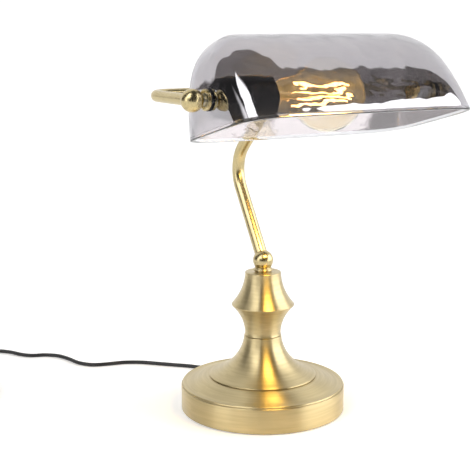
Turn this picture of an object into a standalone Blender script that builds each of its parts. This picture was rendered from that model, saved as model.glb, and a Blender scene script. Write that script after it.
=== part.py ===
"""Banker desk lamp: weighted round base, turned column, cranked arm, U-shaped yoke,
tilting glass shade with an E27 holder and a filament bulb, and a mains lead with an
in-line switch and a flat two-pin plug.

Metres, +Z up. The origin is the middle of the felt under the base. +X runs along the
shade, and the open front of the lamp faces -Y.
"""
import math

import bmesh
import bpy
from mathutils import Matrix, Vector
from mathutils.geometry import interpolate_bezier

# ---------------------------------------------------------------- driving dimensions
GAP = 0.0003            # running gap between neighbouring solids
MERGE = 0.00001

LARGE = 40              # steps of a turned piece as wide as the base
MEDIUM = 28
SMALL = 14

BASE_R = 0.079
WALL_H = 0.0246         # plain cylindrical wall of the base, up to its groove
SHOULDER_R = 0.0524     # where the pedestal cone meets the domed top of the base
SHOULDER_Z = 0.0330
FELT_H = 0.0020
SHEET = 0.0012          # thickness of the spun brass

CONE_TOP_Z = 0.0728     # seam between pedestal cone and column
CONE_TOP_R = 0.0180
WAIST_R = 0.0172
RING_R = 0.0300         # sharp ring round the middle of the column
RING_Z = 0.1034
COLUMN_TOP_Z = 0.1352
COLUMN_TOP_R = 0.0172

ROD_R = 0.0050          # M10 lamp pipe
BORE_R = ROD_R + GAP
NECK_BALL_Z = 0.1463
NECK_BALL_R = 0.0097

ARM_R = 0.0060
ARM_LEAN = math.radians(32.9)     # lower half leans back
ARM_CRANK = math.radians(45.0)    # upper half leans forward
ARM_BEND_R = 0.0324
TUBE_WALL = 0.0010

YOKE_R = 0.0050
YOKE_BEND_R = 0.0180
YOKE_DEPTH = 0.0780     # from the tilt axis back to the yoke's long bar
HUB_R = 0.0095

TILT_X = 0.0049         # middle of the yoke and shade, beside the arm's plane
TILT_Y = -0.0966
TILT_Z = 0.3080
TILT = math.radians(14.5)         # front of the shade is raised by this
BALL_R = 0.0095
BALL_X = 0.1311         # from the middle of the yoke to a pivot ball

SHADE_H = 0.0822
SHADE_PIVOT_H = 0.0267  # tilt axis above the rim
SHADE_A = 0.1165        # half length of the rim
SHADE_B = 0.0635        # half width of the rim
SHADE_CROWN = 0.0792    # half length of the straight crown
SHADE_SET_BACK = 0.0103 # how far the crown stands behind the middle of the rim
SHADE_SQUARE = 5.9      # corner exponent of the rim, rounder above
SHADE_WALL = 0.0038
SEAT_X = SHADE_A - SHADE_WALL - 0.0006      # inner seat of the glass, from its middle
STACK_X = SEAT_X - 0.0028                   # inner end of the gasket and washer there

HOLDER_R = 0.0180
HOLDER_MOUTH_X = -0.0540
HOLDER_SPLIT_X = -0.0820
BULB_R = 0.0315
BULB_X = 0.0040         # middle of the bulb's globe

CORD_R = 0.0020
CORD_Z = 0.0021
GLAND_Z = 0.0090
GLAND_TAIL = 0.0220
COIL_AT = Vector((-0.2440, 0.1780, 0))
COIL_MID_R = 0.0230
COIL_HALF_W = 0.0063
COIL_H = 0.0126
SWITCH_AT = Vector((-0.2140, 0.2570, 0))
SWITCH_SIZE = Vector((0.0260, 0.0600, 0.0170))
SWITCH_SPLIT = 0.0083
ROCKER_Z = 0.0142
PLUG_AT = Vector((-0.2620, 0.2560, 0.0072))
PLUG_SIZE = Vector((0.0250, 0.0330, 0.0136))
PLUG_PIN_R = 0.0020
PLUG_PIN_L = 0.0190
PLUG_PIN_PITCH = 0.0186

X = Vector((1, 0, 0))
Y = Vector((0, 1, 0))
Z = Vector((0, 0, 1))
TILT_AT = Vector((TILT_X, TILT_Y, TILT_Z))

# colour, roughness, metallic, alpha
FINISHES = {
    "brass": ((0.72, 0.59, 0.34), 0.34, 1.0, 1.0),
    "bright_brass": ((0.80, 0.62, 0.30), 0.22, 1.0, 1.0),
    "iron": ((0.16, 0.16, 0.17), 0.75, 0.6, 1.0),
    "steel": ((0.62, 0.63, 0.65), 0.35, 1.0, 1.0),
    "nickel": ((0.75, 0.73, 0.68), 0.28, 1.0, 1.0),
    "felt": ((0.03, 0.03, 0.03), 0.95, 0.0, 1.0),
    "phenolic": ((0.015, 0.014, 0.014), 0.30, 0.0, 1.0),
    "ceramic": ((0.80, 0.79, 0.75), 0.45, 0.0, 1.0),
    "rubber": ((0.03, 0.03, 0.03), 0.70, 0.0, 1.0),
    "lead_black": ((0.02, 0.02, 0.02), 0.50, 0.0, 1.0),
    "smoked_glass": ((0.42, 0.40, 0.41), 0.05, 0.0, 0.45),
    "clear_glass": ((0.95, 0.93, 0.88), 0.02, 0.0, 0.20),
    "filament": ((1.0, 0.75, 0.30), 0.50, 0.0, 1.0),
}


# ------------------------------------------------------------------------- helpers
def clear_scene():
    for item in list(bpy.data.objects):
        bpy.data.objects.remove(item)


def finish(piece, kind):
    """Give a piece its own material."""
    colour, roughness, metallic, alpha = FINISHES[kind]
    paint = bpy.data.materials.new(piece.name)
    paint.use_nodes = True
    shader = paint.node_tree.nodes["Principled BSDF"]
    shader.inputs["Base Color"].default_value = (*colour, 1.0)
    shader.inputs["Roughness"].default_value = roughness
    shader.inputs["Metallic"].default_value = metallic
    shader.inputs["Alpha"].default_value = alpha
    piece.data.materials.append(paint)


def put(piece, at=(0, 0, 0), along=Z):
    """Place a piece with its own +Z along a direction."""
    bpy.context.collection.objects.link(piece)
    piece.location = at
    piece.rotation_euler = Z.rotation_difference(along).to_euler()
    return piece


def arc(centre, radius, start, stop, count):
    """Points of an arc in an outline, with angles in degrees from the outline's +r."""
    angles = [math.radians(start + (stop - start) * i / count) for i in range(count + 1)]
    return [(centre[0] + radius * math.cos(a), centre[1] + radius * math.sin(a)) for a in angles]


def sweep(a, b, c, d, count):
    """Points of a cubic curve in an outline, from its four control points."""
    curve = interpolate_bezier(*(Vector((*p, 0)) for p in (a, b, c, d)), count + 1)
    return [(p.x, p.y) for p in curve]


def turned(name, outline, kind, steps=SMALL, at=(0, 0, 0), along=Z, wall=None):
    """Turn an outline of (radius, height), listed from its top down its outer side.

    Ends on the axis give a solid, a wall gives a spun shell, anything else a ring.
    """
    mesh = bpy.data.meshes.new(name)
    edges = [(i, i + 1) for i in range(len(outline) - 1)]
    on_axis = outline[0][0] == 0 and outline[-1][0] == 0
    if not on_axis and wall is None:
        edges.append((len(outline) - 1, 0))
    mesh.from_pydata([(radius, 0, height) for radius, height in outline], edges, [])
    piece = put(bpy.data.objects.new(name, mesh), at, along)
    screw = piece.modifiers.new("turn", "SCREW")
    screw.steps = steps
    screw.render_steps = steps
    screw.use_merge_vertices = True
    screw.merge_threshold = MERGE
    screw.use_smooth_shade = True
    if wall is not None:
        thicken(piece, wall)
    finish(piece, kind)
    return piece


def thicken(piece, wall):
    shell = piece.modifiers.new("wall", "SOLIDIFY")
    shell.thickness = wall
    shell.offset = -1
    shell.use_even_offset = True


def ring(name, inner, outer, low, high, kind, steps=SMALL, at=(0, 0, 0), along=Z):
    outline = [(inner, high), (outer, high), (outer, low), (inner, low)]
    return turned(name, outline, kind, steps, at, along)


def disc(name, radius, low, high, kind, steps=SMALL, at=(0, 0, 0), along=Z):
    outline = [(0, high), (radius, high), (radius, low), (0, low)]
    return turned(name, outline, kind, steps, at, along)


def ball(name, radius, kind, at):
    outline = arc((0, 0), radius, 90, -90, 9)
    outline[0] = (0, radius)
    outline[-1] = (0, -radius)
    return turned(name, outline, kind, 18, at)


def drill(piece, radius, start, along, length):
    """Cut a round hole that starts at a point and runs along a direction."""
    mesh = bpy.data.meshes.new("cut")
    bm = bmesh.new()
    middle = Matrix.Translation((0, 0, length / 2))
    bmesh.ops.create_cone(bm, cap_ends=True, segments=SMALL, radius1=radius, radius2=radius,
                          depth=length, matrix=middle)
    bm.to_mesh(mesh)
    bm.free()
    cut(piece, put(bpy.data.objects.new("cut", mesh), start, along))


def cut(piece, cutter):
    cutter.hide_render = True
    cutter.display_type = "WIRE"
    boolean = piece.modifiers.new("cut", "BOOLEAN")
    boolean.operation = "DIFFERENCE"
    boolean.solver = "EXACT"
    boolean.object = cutter


def block(name, size, at):
    """A plain box with its middle at a point."""
    mesh = bpy.data.meshes.new(name)
    bm = bmesh.new()
    bmesh.ops.create_cube(bm, size=1.0, matrix=Matrix.Diagonal((*size, 1)))
    bm.to_mesh(mesh)
    bm.free()
    return put(bpy.data.objects.new(name, mesh), at)


def soften(piece, width, segments=2):
    bevel = piece.modifiers.new("soften", "BEVEL")
    bevel.width = width
    bevel.segments = segments
    bevel.limit_method = "ANGLE"


def tube(name, points, radius, kind, wall=None, sides=3):
    """A bar along a path, or a pipe with open ends when it has a wall."""
    curve = bpy.data.curves.new(name, "CURVE")
    curve.dimensions = "3D"
    spline = curve.splines.new("POLY")
    spline.points.add(len(points) - 1)
    for knot, point in zip(spline.points, points):
        knot.co = (*point, 1)
    curve.bevel_depth = radius
    curve.bevel_resolution = sides
    curve.use_fill_caps = wall is None
    piece = put(bpy.data.objects.new(name, curve))
    if wall is not None:
        thicken(piece, wall)
    finish(piece, kind)
    return piece


def rounded_corner(before, corner, after, radius, count):
    """Points of the arc that rounds one corner of a path."""
    back = (before - corner).normalized()
    ahead = (after - corner).normalized()
    half = back.angle(ahead) / 2
    middle = corner + (back + ahead).normalized() * radius / math.sin(half)
    start = (corner + back * radius / math.tan(half) - middle).normalized()
    stop = (corner + ahead * radius / math.tan(half) - middle).normalized()
    return [middle + start.slerp(stop, i / count) * radius for i in range(count + 1)]


def smooth_route(route, step):
    """Points about a step apart on a smooth curve through a route's own points."""
    points = [Vector(p) for p in route]
    slopes = [(points[min(i + 1, len(points) - 1)] - points[max(i - 1, 0)]) / 6
              for i in range(len(points))]
    path = [points[0]]
    for i in range(len(points) - 1):
        count = max(1, round((points[i + 1] - points[i]).length / step))
        path += interpolate_bezier(points[i], points[i] + slopes[i],
                                   points[i + 1] - slopes[i + 1], points[i + 1], count + 1)[1:]
    return path


# ---------------------------------------------------------------------------- base
def base():
    cover = turned("base_cover", cover_outline(), "brass", LARGE)
    drill(cover, 0.0042, (0, BASE_R - 0.006, GLAND_Z), Y, 0.012)
    turned("base_weight", weight_outline(), "iron", MEDIUM)
    disc("base_felt", BASE_R - 0.0022, 0, FELT_H, "felt", MEDIUM)
    turned("pedestal_cone", cone_outline(), "brass", 36)
    ring("tie_rod", ROD_R - 0.0013, ROD_R, 0.0062, NECK_BALL_Z - 0.0035, "steel")
    ring("tie_washer", BORE_R, 0.0110, 0.0118, 0.0132, "steel")
    ring("tie_nut", BORE_R, 0.0085, 0.0072, 0.0115, "steel")
    cord_gland()


def cover_outline():
    """Spun cover: flat middle, domed shoulder, rolled bead, groove and plain wall."""
    bead = arc((BASE_R - 0.0022, WALL_H + 0.0006), 0.0013, 115, -45, 5)
    dome = sweep((SHOULDER_R, SHOULDER_Z), (0.0620, 0.0318), (0.0670, 0.0262), bead[0], 5)
    wall = [(BASE_R - 0.0007, WALL_H), (BASE_R, WALL_H - 0.0008), (BASE_R, 0.0014),
            (BASE_R - 0.0008, 0.0008)]
    inner = BASE_R - SHEET
    inside = [(inner, 0.0008), (inner, WALL_H - 0.0010), (0.0640, SHOULDER_Z - 0.0052),
              (SHOULDER_R, SHOULDER_Z - SHEET), (BORE_R, SHOULDER_Z - SHEET)]
    return [(BORE_R, SHOULDER_Z), *dome, *bead[1:], *wall, *inside]


def weight_outline():
    """Cast disc with a boss on top and a recess below for the nut."""
    outer = BASE_R - 0.0065
    return [(BORE_R, 0.0310), (0.0440, 0.0310), (0.0470, 0.0240), (outer - 0.002, 0.0240),
            (outer, 0.0220), (outer, FELT_H + GAP), (0.0150, FELT_H + GAP), (0.0150, 0.0135),
            (BORE_R, 0.0135)]


def cone_outline():
    """Hollow concave flare with a small stepped foot on the shoulder of the base."""
    foot_z = SHOULDER_Z + GAP
    flare = sweep((CONE_TOP_R, CONE_TOP_Z - 0.0006), (0.0195, 0.0560), (0.0310, 0.0415),
                  (SHOULDER_R - 0.0022, foot_z + 0.0020), 9)
    foot = [(SHOULDER_R - 0.0009, foot_z + 0.0016), (SHOULDER_R - 0.0006, foot_z)]
    inside = [(0.0440, foot_z), (0.0240, 0.0480), (0.0160, 0.0640),
              (0.0160, CONE_TOP_Z - 0.0016), (BORE_R, CONE_TOP_Z - 0.0016)]
    return [(BORE_R, CONE_TOP_Z), (CONE_TOP_R - 0.0006, CONE_TOP_Z), *flare, *foot, *inside]


def cord_gland():
    """Bush through the back wall, with a tapered strain relief behind it."""
    root = 0.0020
    tail = root + GLAND_TAIL
    outline = [(0, tail), (0.0027, tail), (0.0031, tail - 0.0010), (0.0043, root + 0.0030),
               (0.0046, root), (0.0060, root - 0.0004), (0.0060, 0.0006), (0.0039, 0.0006),
               (0.0039, -SHEET - 0.0008), (0.0050, -SHEET - 0.0008), (0.0046, -0.0040),
               (0, -0.0040)]
    turned("cord_gland", outline, "rubber", SMALL, (0, BASE_R, GLAND_Z), Y)


# -------------------------------------------------------------------------- column
def column():
    turned("column_body", column_outline(), "brass", 36)
    neck = NECK_BALL_Z - 0.0060
    outline = [(BORE_R, neck), (0.0062, neck), (0.0079, neck - 0.0008), (0.0079, 0.1390),
               *arc((0.0079, 0.1374), 0.0013, 75, -75, 3), (0.0079, COLUMN_TOP_Z + GAP),
               (BORE_R, COLUMN_TOP_Z + GAP)]
    turned("neck_collar", outline, "brass", 20)
    knob = ball("neck_ball", NECK_BALL_R, "brass", (0, 0, NECK_BALL_Z))
    drill(knob, BORE_R, (0, 0, NECK_BALL_Z - 0.0032), -Z, 0.010)
    drill(knob, 0.0085, (0, 0, neck + GAP), -Z, 0.006)
    lean = arm_directions()[0]
    drill(knob, ARM_R + GAP, Vector((0, 0, NECK_BALL_Z)) + lean * 0.0010, lean, 0.020)


def column_outline():
    """Hollow body: two concave flares that meet at a sharp ring, above a small foot."""
    foot_z = CONE_TOP_Z + GAP
    upper = sweep((RING_R - 0.0006, RING_Z + 0.0009), (0.0240, 0.1110), (0.0185, 0.1190),
                  (COLUMN_TOP_R, 0.1330), 7)
    lower = sweep((RING_R - 0.0003, RING_Z - 0.0009), (0.0218, 0.0953), (0.0174, 0.0850),
                  (WAIST_R, foot_z + 0.0026), 7)
    cap = [(BORE_R, COLUMN_TOP_Z), (COLUMN_TOP_R - 0.0007, COLUMN_TOP_Z),
           (COLUMN_TOP_R, COLUMN_TOP_Z - 0.0007)]
    foot = [(CONE_TOP_R - 0.0004, foot_z + 0.0008), (CONE_TOP_R - 0.0006, foot_z)]
    inside = [(0.0150, foot_z), (0.0150, COLUMN_TOP_Z - 0.0020), (BORE_R, COLUMN_TOP_Z - 0.0020)]
    return [*cap, *upper[::-1], (RING_R, RING_Z), *lower, *foot, *inside]


# ---------------------------------------------------------------- arm and yoke
def arm_directions():
    """Unit directions of the arm's lower and upper straights, both going up."""
    lean = Vector((0, math.sin(ARM_LEAN), math.cos(ARM_LEAN)))
    crank = Vector((0, -math.sin(ARM_CRANK), math.cos(ARM_CRANK)))
    return lean, crank


def arm_corner(start, hub):
    """Where the arm's two straights would meet."""
    lean, crank = arm_directions()
    rise = (hub.z - start.z + (hub.y - start.y) * crank.z / -crank.y)
    reach = rise / (lean.z + lean.y * crank.z / -crank.y)
    return start + lean * reach


def arm():
    lean, crank = arm_directions()
    start = Vector((0, 0, NECK_BALL_Z))
    hub = hub_point()
    corner = arm_corner(start, hub)
    bend = rounded_corner(start, corner, hub, ARM_BEND_R, 9)
    path = [start + lean * 0.0013, *bend, hub - crank * 0.0060]
    tube("arm_tube", path, ARM_R, "brass", TUBE_WALL, 4)


def hub_point():
    return Vector((0, TILT_Y + YOKE_DEPTH, TILT_Z))


def yoke():
    left = TILT_AT - X * BALL_X
    right = TILT_AT + X * BALL_X
    back = Y * YOKE_DEPTH
    into_ball = Y * 0.0063
    path = [left + into_ball,
            *rounded_corner(left, left + back, right + back, YOKE_BEND_R, 7),
            *rounded_corner(left + back, right + back, right, YOKE_BEND_R, 7),
            right + into_ball]
    tube("yoke_tube", path, YOKE_R, "brass", TUBE_WALL, 4)
    for side, centre, inward in (("left", left, X), ("right", right, -X)):
        knob = ball(f"pivot_ball_{side}", BALL_R, "brass", centre)
        drill(knob, YOKE_R + GAP, centre + Y * 0.0060, Y, 0.020)
        drill(knob, BORE_R, centre, inward, 0.020)
    hub()


def hub():
    """Ball that joins the arm to the yoke, and the screw that locks it."""
    centre = hub_point()
    crank = arm_directions()[1]
    knob = ball("yoke_hub", HUB_R, "brass", centre)
    drill(knob, YOKE_R + GAP, centre - X * 0.020, X, 0.040)
    drill(knob, ARM_R + GAP, centre - crank * 0.0057, -crank, 0.020)
    across = Vector((0, crank.z, -crank.y))
    drill(knob, 0.0018, centre + across * 0.0048, across, 0.010)
    disc("hub_screw", 0.0015, 0.0056, 0.0104, "steel", 12, centre, across)


# --------------------------------------------------------------------------- shade
def shade_rings(shrink):
    """Rings of the shade from its rim to its crown, in the shade's own frame."""
    rows = 9
    around = 48
    rings = []
    for row in range(rows + 1):
        level = math.sin(math.pi / 2 * row / rows)
        swell = max(0.0, 1 - level ** 5.1) ** 0.59
        length = SHADE_CROWN - shrink + (SHADE_A - SHADE_CROWN) * swell
        width = (SHADE_B - shrink) * max(0.0, 1 - level ** 1.3) ** 0.56
        height = (SHADE_H - shrink) * level - SHADE_PIVOT_H
        middle = SHADE_SET_BACK * level
        rings.append([Vector((length * rounded(math.cos(a), level),
                              width * rounded(math.sin(a), level) + middle, height))
                      for a in (math.tau * i / around for i in range(around))])
    return rings


def rounded(value, level):
    """Superellipse coordinate from a cosine or a sine, a little rounder towards the crown."""
    return math.copysign(abs(value) ** (2 / (SHADE_SQUARE - 1.2 * level)), value)


def shade():
    rings = shade_rings(0)[::-1] + shade_rings(SHADE_WALL)
    mesh = bpy.data.meshes.new("shade_glass")
    bm = bmesh.new()
    loops = [[bm.verts.new(point) for point in points] for points in rings]
    for upper, lower in zip(loops, loops[1:]):
        for i in range(len(upper)):
            bm.faces.new((upper[i], lower[i], lower[i - 1], upper[i - 1]))
    bmesh.ops.remove_doubles(bm, verts=bm.verts, dist=MERGE)
    bmesh.ops.dissolve_degenerate(bm, edges=bm.edges, dist=MERGE)
    bmesh.ops.recalc_face_normals(bm, faces=bm.faces)
    bm.to_mesh(mesh)
    bm.free()
    mesh.shade_smooth()
    glass = put(bpy.data.objects.new("shade_glass", mesh), TILT_AT)
    glass.rotation_euler = (-TILT, 0, 0)
    finish(glass, "smoked_glass")
    for inward in (X, -X):
        drill(glass, BORE_R + GAP, TILT_AT - inward * (SHADE_A + 0.010), inward, 0.030)


def pivot_stacks():
    """Rings clamped on the glass at each end, measured from the middle of the yoke."""
    outer = SHADE_A + GAP
    nut_x = STACK_X - 0.0207
    for side, along in (("left", -X), ("right", X)):
        ring(f"outer_gasket_{side}", BORE_R, 0.0092, outer, outer + 0.0009, "rubber", SMALL,
             TILT_AT, along)
        ring(f"outer_washer_{side}", BORE_R, 0.0088, outer + 0.0012, outer + 0.0034, "brass",
             SMALL, TILT_AT, along)
        ring(f"inner_gasket_{side}", BORE_R, 0.0098, SEAT_X - 0.0010, SEAT_X, "rubber", SMALL,
             TILT_AT, along)
        ring(f"inner_washer_{side}", BORE_R, 0.0092, STACK_X + GAP, SEAT_X - 0.0013, "brass",
             SMALL, TILT_AT, along)
    ring("pivot_nipple", ROD_R - 0.0013, ROD_R, STACK_X - 0.0062, BALL_X - 0.0010, "steel", SMALL, TILT_AT,
         -X)
    ring("nipple_nut", BORE_R, 0.0085, STACK_X - 0.0047, STACK_X - 0.0023, "steel", SMALL,
         TILT_AT, -X)
    disc("pivot_stud", ROD_R, nut_x + 0.0014, BALL_X - 0.0010, "steel", SMALL, TILT_AT, X)
    ring("stud_sleeve", BORE_R, 0.0066, nut_x + 0.0043, STACK_X, "steel", SMALL, TILT_AT, X)
    nut = [(0, nut_x + 0.0011), (BORE_R, nut_x + 0.0011), (BORE_R, nut_x + 0.0040),
           (0.0067, nut_x + 0.0040), (0.0071, nut_x + 0.0036), (0.0071, nut_x + 0.0008),
           (0.0062, nut_x), (0, nut_x)]
    turned("stud_cap_nut", nut, "bright_brass", SMALL, TILT_AT, X)


# ---------------------------------------------------------------- holder and bulb
def holder():
    at = Vector((0, TILT_Y, TILT_Z))
    start = TILT_X - STACK_X
    cap = [(HOLDER_R, HOLDER_SPLIT_X), (HOLDER_R, start + 0.0150),
           *sweep((HOLDER_R, start + 0.0150), (HOLDER_R, start + 0.0060), (0.0160, start + 0.0010),
                  (0.0115, start), 5)[1:], (BORE_R, start)]
    turned("holder_cap", cap, "phenolic", MEDIUM, at, X, wall=0.0020)
    split = HOLDER_SPLIT_X + GAP
    mouth = HOLDER_MOUTH_X
    shell = [(0.0152, mouth), (0.0166, mouth), (0.0176, mouth - 0.0012), (HOLDER_R, mouth - 0.0040),
             (HOLDER_R, split), (0.0152, split)]
    turned("holder_shell", shell, "phenolic", MEDIUM, at, X)
    ring("holder_contact_shell", 0.0138, 0.0148, HOLDER_SPLIT_X + 0.0006, -0.0585, "nickel",
         20, at, X)
    block_low = HOLDER_SPLIT_X - 0.0075
    disc("holder_core", 0.0150, block_low, HOLDER_SPLIT_X - 0.0013, "ceramic", 18, at, X)
    tongue = block("holder_centre_contact", (0.0008, 0.0060, 0.0060),
                   at + X * (HOLDER_SPLIT_X - 0.0006))
    finish(tongue, "bright_brass")


def bulb():
    at = Vector((0, TILT_Y, TILT_Z))
    neck_z = -0.0560
    globe = arc((0, BULB_X), BULB_R, 90, -38, 10)
    globe[0] = (0, BULB_X + BULB_R)
    neck = sweep(globe[-1], (0.0185, -0.0225), (0.0138, -0.0340), (0.0128, neck_z), 5)
    turned("bulb_glass", [*globe, *neck[1:]], "clear_glass", 24, at, X, wall=0.0009)
    thread = [(0.0130 + 0.0004 * math.cos(math.pi * i), -0.0592 - 0.0036 * i) for i in range(5)]
    cap = [(0.0131, neck_z - GAP), *thread, (0.0085, -0.0765)]
    turned("bulb_cap", cap, "nickel", 18, at, X, wall=0.0005)
    insulator = [(0, -0.0770), (0.0078, -0.0770), (0.0052, -0.0792), (0, -0.0792)]
    turned("bulb_insulator", insulator, "phenolic", SMALL, at, X)
    contact = [(0, -0.0795), (0.0046, -0.0795), (0.0036, -0.0808), (0, -0.0808)]
    turned("bulb_contact", contact, "nickel", SMALL, at, X)
    stem = [(0, 0.0170), (0.0012, 0.0160), (0.0014, -0.0200), (0.0034, -0.0240),
            (0.0042, -0.0420), (0.0100, -0.0545), (0, -0.0545)]
    turned("bulb_stem", stem, "clear_glass", 16, at, X)
    filaments(at)


def filaments(at):
    """Four sticks round the stem, drawn together towards the tip."""
    for index in range(4):
        turn = math.pi / 2 * index - TILT
        outward = Y * math.sin(turn) + Z * math.cos(turn)
        near = at - X * 0.0330 + outward * 0.0100
        far = at + X * 0.0250 + outward * 0.0062
        disc(f"filament_{index + 1}", 0.0011, 0, (far - near).length, "filament", 8, near,
             far - near)


# ------------------------------------------------------------------ cord and switch
def cord_routes():
    """Hand-chosen points of the lead where it isn't coiled, with their heights."""
    exit_y = BASE_R + 0.0020 + GLAND_TAIL + GAP
    to_switch = [
        (0.0000, exit_y, GLAND_Z), (0.0012, 0.1120, 0.0082), (0.0040, 0.1220, 0.0050),
        (0.0040, 0.1320, 0.0026), (-0.0030, 0.1410, CORD_Z), (-0.0160, 0.1530, CORD_Z),
        (-0.0295, 0.1660, CORD_Z), (-0.0450, 0.1810, CORD_Z), (-0.0620, 0.1905, CORD_Z),
        (-0.0810, 0.1945, CORD_Z), (-0.0960, 0.2005, CORD_Z), (-0.1055, 0.2140, CORD_Z),
        (-0.1095, 0.2320, CORD_Z), (-0.1155, 0.2490, CORD_Z), (-0.1270, 0.2600, CORD_Z),
        (-0.1410, 0.2655, CORD_Z), (-0.1505, 0.2760, CORD_Z), (-0.1570, 0.2890, CORD_Z),
        (-0.1670, 0.3005, CORD_Z), (-0.1810, 0.3085, CORD_Z), (-0.1970, 0.3105, 0.0030),
        (-0.2090, 0.3030, 0.0060), (-0.2140, 0.2935, 0.0080),
        (SWITCH_AT.x, SWITCH_AT.y + SWITCH_SIZE.y / 2 + GAP, SWITCH_SPLIT)]
    beside_coil = COIL_MID_R + COIL_HALF_W + CORD_R + GAP
    to_coil = [
        (SWITCH_AT.x, SWITCH_AT.y - SWITCH_SIZE.y / 2 - GAP, SWITCH_SPLIT),
        (-0.2139, 0.2180, 0.0066), (-0.2130, 0.2080, 0.0038), (-0.2122, 0.1980, CORD_Z),
        (COIL_AT.x + beside_coil, 0.1880, CORD_Z), (COIL_AT.x + beside_coil, COIL_AT.y, CORD_Z)]
    to_plug = [
        (COIL_AT.x - beside_coil, COIL_AT.y, CORD_Z), (COIL_AT.x - beside_coil, 0.1880, CORD_Z),
        (-0.2735, 0.1960, 0.0030), (-0.2662, 0.2050, 0.0056),
        (PLUG_AT.x, 0.2160, PLUG_AT.z),
        (PLUG_AT.x, PLUG_AT.y - PLUG_SIZE.y / 2 - 0.0180 - GAP, PLUG_AT.z)]
    return {"cord_to_switch": to_switch, "cord_to_coil": to_coil, "cord_to_plug": to_plug}


def cord():
    for name, route in cord_routes().items():
        tube(name, smooth_route(route, 0.009), CORD_R, "lead_black", sides=2)
    ring("cord_coil", COIL_MID_R - COIL_HALF_W, COIL_MID_R + COIL_HALF_W, 0, COIL_H, "lead_black",
         MEDIUM, COIL_AT)


def switch():
    """Two half cases screwed together round a rocker, with its terminals below."""
    length = SWITCH_SIZE.y
    low = block("switch_lower_case", (SWITCH_SIZE.x, length, SWITCH_SPLIT - GAP / 2),
                SWITCH_AT + Z * (SWITCH_SPLIT - GAP / 2) / 2)
    high_h = SWITCH_SIZE.z - SWITCH_SPLIT - GAP / 2
    high = block("switch_upper_case", (SWITCH_SIZE.x, length, high_h),
                 SWITCH_AT + Z * (SWITCH_SIZE.z - high_h / 2))
    for case in (low, high):
        soften(case, 0.0024)
        finish(case, "lead_black")
        cut(case, block("pocket", (0.0210, 0.0300, 0.0134), SWITCH_AT + Z * 0.0087))
    cut(high, block("slot", (0.0100, 0.0236, 0.0080), SWITCH_AT + Z * SWITCH_SIZE.z))
    for index, side in enumerate((-1, 1)):
        at = SWITCH_AT + Y * side * 0.0235
        for case in (low, high):
            drill(case, 0.0017, at - Z * 0.001, Z, 0.0125)
        drill(low, 0.0030, at - Z * 0.002, Z, 0.0043)
        outline = [(0, 0.0110), (0.0014, 0.0110), (0.0014, 0.0020), (0.0027, 0.0020),
                   (0.0027, 0.0006), (0, 0.0006)]
        turned(f"switch_screw_{index + 1}", outline, "steel", 12, at)
    terminals = block("switch_terminals", (0.0160, 0.0240, 0.0060), SWITCH_AT + Z * 0.0054)
    finish(terminals, "ceramic")
    hang_on_axis("switch_rocker_axis", SWITCH_AT + Z * ROCKER_Z, (rocker,))


def rocker():
    """Rocker with a shallow V on top, shown pressed down at the end nearer the lamp."""
    half = 0.0108
    outline = [(-half, 0.0042), (-half, -0.0006), (-0.0040, -0.0024), (0.0040, -0.0024),
               (half, -0.0006), (half, 0.0042), (0.0, 0.0034)]
    mesh = bpy.data.meshes.new("switch_rocker")
    bm = bmesh.new()
    side = bm.faces.new([bm.verts.new((-0.0046, y, z)) for y, z in outline])
    grown = bmesh.ops.extrude_face_region(bm, geom=[side])["geom"]
    moved = [item for item in grown if isinstance(item, bmesh.types.BMVert)]
    bmesh.ops.translate(bm, verts=moved, vec=(0.0092, 0, 0))
    bmesh.ops.recalc_face_normals(bm, faces=bm.faces)
    bm.to_mesh(mesh)
    bm.free()
    pivot = SWITCH_AT + Z * ROCKER_Z
    key = put(bpy.data.objects.new("switch_rocker", mesh), pivot)
    key.rotation_euler = (math.radians(6), 0, 0)
    finish(key, "lead_black")
    drill(key, 0.0011, pivot - X * 0.008, X, 0.016)
    disc("switch_rocker_pin", 0.0008, -0.0102, 0.0102, "steel", 12, pivot, X)


def plug():
    body = block("plug_body", PLUG_SIZE, PLUG_AT)
    soften(body, 0.0035, 3)
    finish(body, "lead_black")
    rear = PLUG_AT - Y * PLUG_SIZE.y / 2
    outline = [(0, 0.0180), (0.0027, 0.0180), (0.0031, 0.0170), (0.0048, GAP), (0, GAP)]
    turned("plug_strain_relief", outline, "rubber", SMALL, rear, -Y)
    front = PLUG_AT + Y * PLUG_SIZE.y / 2
    for side, offset in (("left", -1), ("right", 1)):
        at = front + X * offset * PLUG_PIN_PITCH / 2
        outline = [(0, PLUG_PIN_L), (PLUG_PIN_R - 0.0008, PLUG_PIN_L),
                   (PLUG_PIN_R, PLUG_PIN_L - 0.0010), (PLUG_PIN_R, GAP), (0, GAP)]
        turned(f"plug_pin_{side}", outline, "nickel", 12, at, Y)


def hang_on_axis(name, at, makers):
    """Make pieces and hang them, with their cutters, on an empty on their hinge axis."""
    still = set(bpy.data.objects)
    for make in makers:
        make()
    axis = put(bpy.data.objects.new(name, None), at)
    for piece in set(bpy.data.objects) - still - {axis}:
        piece.parent = axis
        piece.location -= at


def main():
    clear_scene()
    base()
    column()
    arm()
    yoke()
    hang_on_axis("shade_tilt_axis", TILT_AT, (shade, pivot_stacks, holder, bulb))
    cord()
    switch()
    plug()


main()
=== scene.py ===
"""Looks of the banker desk lamp: fine turned brass, smoked half-mirrored glass, a lit
filament bulb and a black lead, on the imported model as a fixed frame."""
import math

import bmesh
import bpy
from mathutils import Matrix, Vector
from mathutils.geometry import interpolate_bezier


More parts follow.
